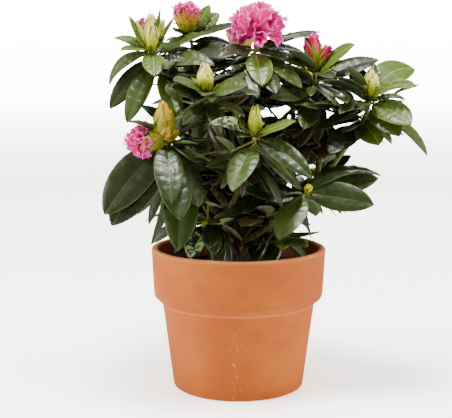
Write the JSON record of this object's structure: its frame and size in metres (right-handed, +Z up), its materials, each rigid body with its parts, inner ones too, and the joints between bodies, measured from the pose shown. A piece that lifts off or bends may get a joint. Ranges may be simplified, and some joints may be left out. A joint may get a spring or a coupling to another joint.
{
  "type": "potted rhododendron",
  "caption": "Potted evergreen shrub with broad leathery leaves, plump flower buds and one open flower head, in a round collared terracotta pot.",
  "frame": {"origin": "centre of the pot's flat underside", "axes": "+Z up along the pot's axis, -Y towards the front, +X to the right"},
  "size_m": [0.3845, 0.3269, 0.4901],
  "materials": {
    "terracotta": "matt fired clay",
    "soil": "dark crumbly potting soil",
    "bark": "thin rough bark, greener towards the tips",
    "leaf": "leathery dark green with a soft gloss",
    "blossom": "thin matt petals, bright pink"
  },
  "bodies": {
    "root": {"pot": "terracotta", "soil": "soil", "trunk": "bark", "bough_left": "bark", "bough_upper_left": "bark", "bough_top_left": "bark", "bough_top": "bark", "bough_front_upper": "bark", "bough_front": "bark", "bough_right": "bark", "bough_top_right": "bark", "bough_lower_right": "bark", "bough_pot_right": "bark", "bough_pot_left": "bark", "bough_back_left": "bark", "bough_back_top": "bark", "bough_back_right": "bark", "bough_low_back_left": "bark", "bough_low_back_right": "bark", "bough_low_back": "bark", "bough_side_left": "bark", "bough_side_right": "bark", "bough_middle": "bark", "bough_inner_left": "bark", "bough_inner_low": "bark", "foliage_upper_left": "leaf", "foliage_top_left": "leaf", "foliage_top": "leaf", "foliage_top_right": "leaf", "foliage_right": "leaf", "foliage_front_upper": "leaf", "foliage_left": "leaf", "foliage_front": "leaf", "foliage_lower_right": "leaf", "foliage_pot_right": "leaf", "foliage_pot_left": "leaf", "foliage_back_left": "leaf", "foliage_back_top": "leaf", "foliage_back_right": "leaf", "foliage_low_back_left": "leaf", "foliage_low_back_right": "leaf", "foliage_low_back": "leaf", "foliage_side_left": "leaf", "foliage_side_right": "leaf", "foliage_middle": "leaf", "foliage_inner_left": "leaf", "foliage_inner_low": "leaf", "blossom_top": "blossom"}
  },
  "joints": []
}
